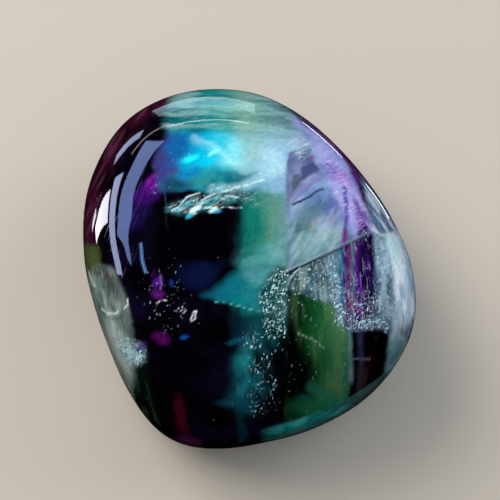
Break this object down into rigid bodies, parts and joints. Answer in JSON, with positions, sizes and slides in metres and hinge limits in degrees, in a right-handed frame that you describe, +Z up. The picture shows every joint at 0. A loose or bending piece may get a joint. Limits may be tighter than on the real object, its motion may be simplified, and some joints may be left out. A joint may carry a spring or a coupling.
{
  "type": "tumbled fluorite stone",
  "caption": "Smooth rounded pebble of banded purple, teal and green translucent fluorite, polished all over, with a worn flat below that it lies on.",
  "frame": {"origin": "centre of the stone's outline in plan, at the level of the worn flat that it lies on", "axes": "+Z up from the worn flat, +Y along the long way of the stone towards its far end, +X across it to the right"},
  "size_m": [0.0328, 0.0372, 0.0211],
  "materials": {
    "banded_fluorite": "tumble polished, glossy, translucent with growth bands and healed fractures inside"
  },
  "bodies": {
    "root": {"fluorite_stone": "banded_fluorite"}
  },
  "joints": []
}
